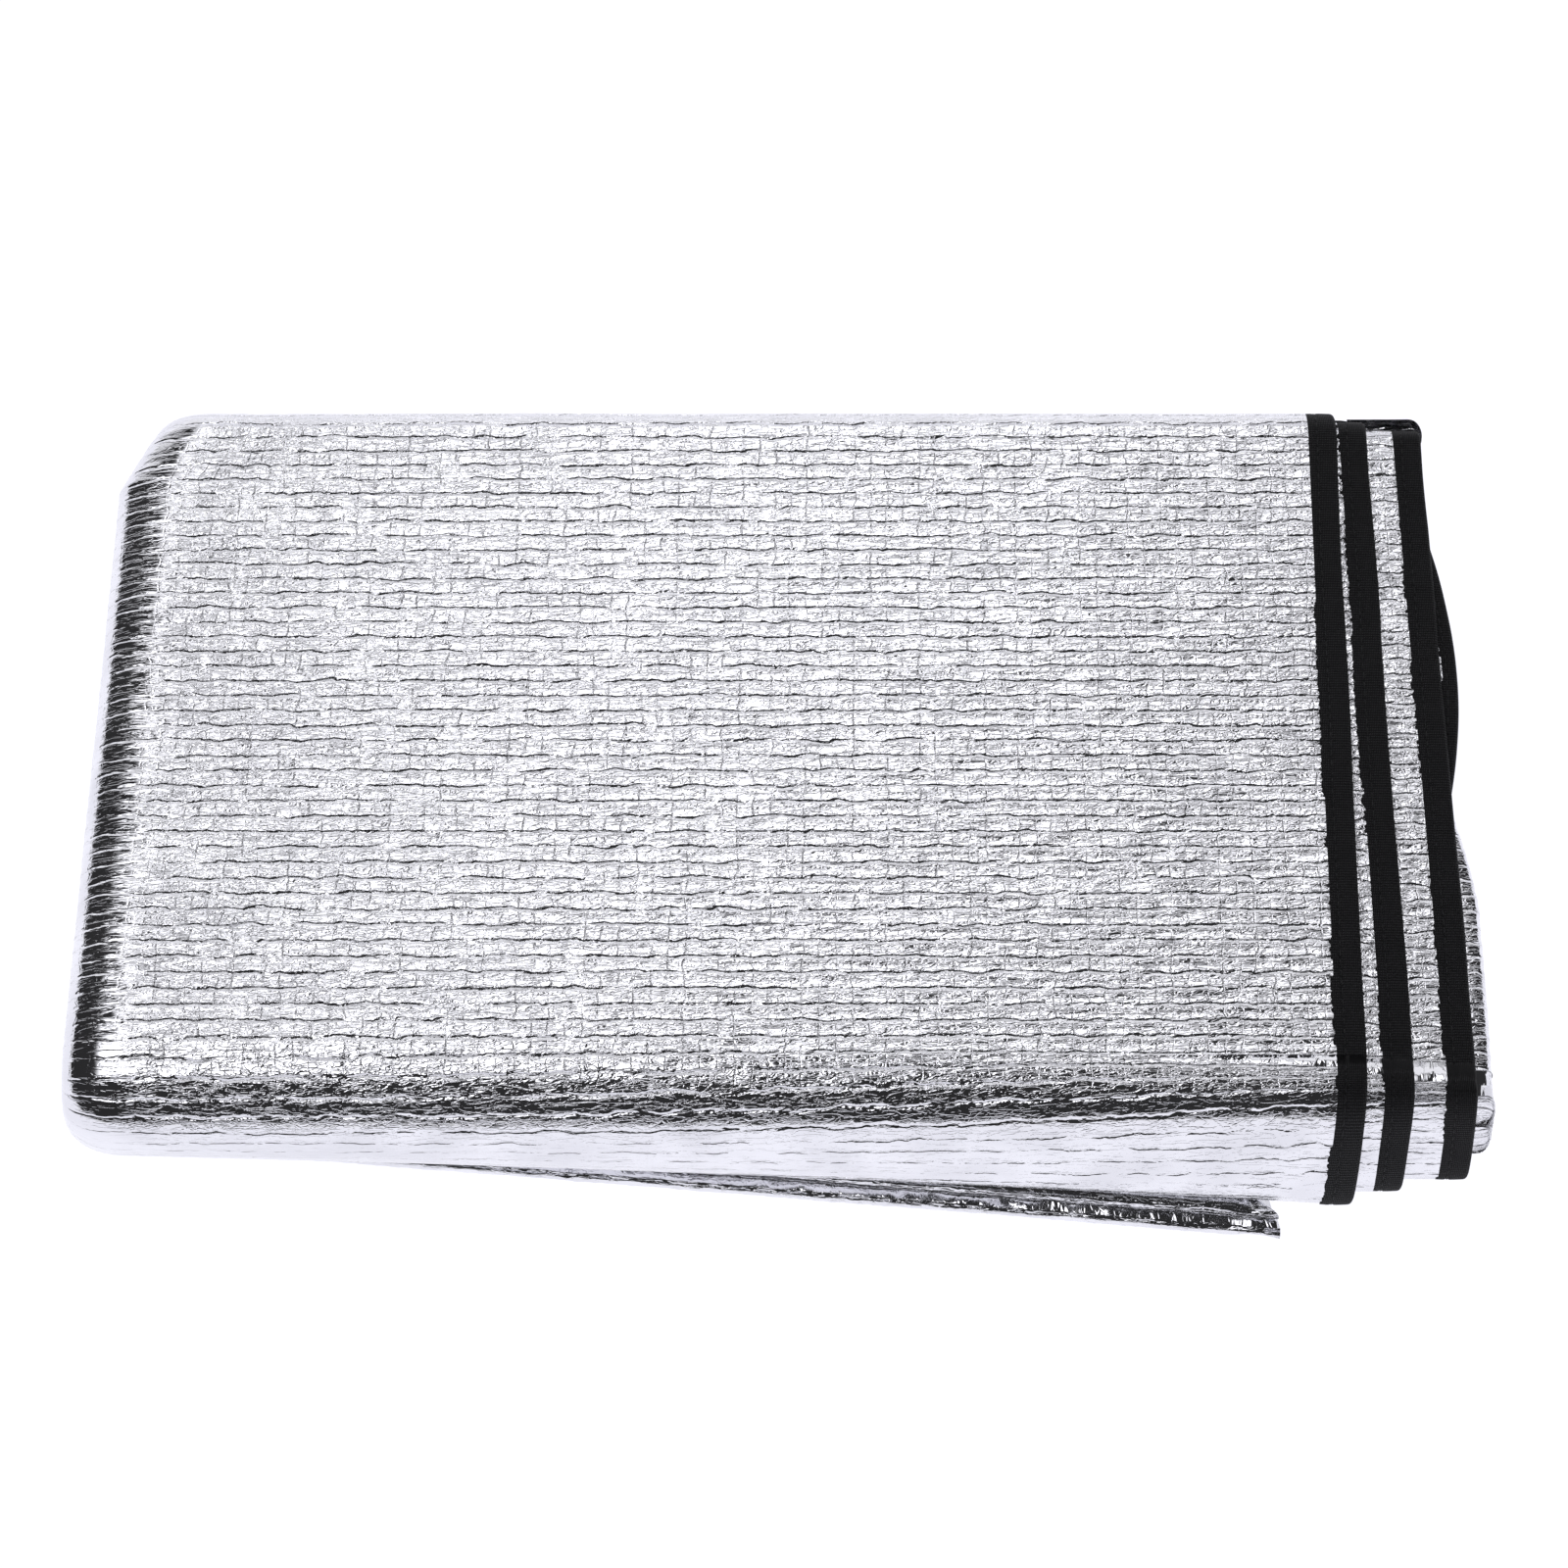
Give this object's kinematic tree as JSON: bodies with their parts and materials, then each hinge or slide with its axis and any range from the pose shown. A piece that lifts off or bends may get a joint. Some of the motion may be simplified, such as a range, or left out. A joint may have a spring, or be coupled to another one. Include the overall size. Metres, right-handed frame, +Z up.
{
  "type": "folded foam sleeping pad",
  "caption": "Foil-faced closed-cell foam sleeping mat, folded into a flat pack of nested plies with sewn edge binding, opening at its front and back folds.",
  "frame": {"origin": "centre of the folded pack's footprint, on the surface that it rests on", "axes": "+X towards the side with the bound edges, +Y towards the back fold, +Z up"},
  "size_m": [0.53, 0.3376, 0.0708],
  "materials": {
    "foil_film": "bright metallised plastic film, embossed in small cells and creased",
    "foam_core": "white closed-cell polyethylene foam",
    "edge_binding": "black non-woven tape with a pressed dot pattern",
    "stitch_thread": "black lockstitch thread"
  },
  "bodies": {
    "bottom_flap": {"back_wrap_films": "foil_film", "back_wrap_foam": "foam_core", "bottom_foam_1": "foam_core", "bottom_foam_2": "foam_core", "bottom_inner_films": "foil_film", "bottom_outer_film": "foil_film", "tail_films": "foil_film", "tail_foam": "foam_core"},
    "middle_packet": {"front_wrap_binding_1": "edge_binding", "front_wrap_binding_2": "edge_binding", "front_wrap_binding_3": "edge_binding", "front_wrap_foam": "foam_core", "front_wrap_inner_films": "foil_film", "front_wrap_outer_film": "foil_film", "middle_binding_1": "edge_binding", "middle_binding_2": "edge_binding", "middle_binding_3": "edge_binding", "middle_binding_4": "edge_binding", "middle_end_binding": "edge_binding", "middle_foam_1": "foam_core", "middle_foam_2": "foam_core", "middle_foam_3": "foam_core", "middle_foam_4": "foam_core", "middle_inner_films": "foil_film", "middle_outer_film": "foil_film", "middle_right_fold_film": "foil_film", "middle_right_fold_foam": "foam_core", "middle_stitching": "stitch_thread"},
    "top_packet": {"top_back_binding_1": "edge_binding", "top_back_binding_2": "edge_binding", "top_back_binding_3": "edge_binding", "top_back_fold_film": "foil_film", "top_back_fold_foam": "foam_core", "top_binding_1": "edge_binding", "top_binding_2": "edge_binding", "top_binding_3": "edge_binding", "top_binding_4": "edge_binding", "top_foam_1": "foam_core", "top_foam_2": "foam_core", "top_foam_3": "foam_core", "top_foam_4": "foam_core", "top_inner_films": "foil_film", "top_outer_film": "foil_film", "top_right_fold_film": "foil_film", "top_right_fold_foam": "foam_core", "top_stitching_1": "stitch_thread", "top_stitching_2": "stitch_thread", "top_stitching_3": "stitch_thread", "top_stitching_4": "stitch_thread"}
  },
  "joints": [
    {"name": "back_fold", "type": "hinge", "parent": "bottom_flap", "child": "middle_packet", "pos_m": [0, 0.1575, 0.0356], "axis": [-1, 0, 0], "range_deg": [0, 179], "deforming": ["back_wrap_films", "back_wrap_foam"]},
    {"name": "front_fold", "type": "hinge", "parent": "middle_packet", "child": "top_packet", "pos_m": [0, -0.125, 0.0426], "axis": [1, 0, 0], "range_deg": [0, 179], "deforming": ["front_wrap_binding_1", "front_wrap_binding_2", "front_wrap_binding_3", "front_wrap_foam", "front_wrap_inner_films", "front_wrap_outer_film"]}
  ]
}
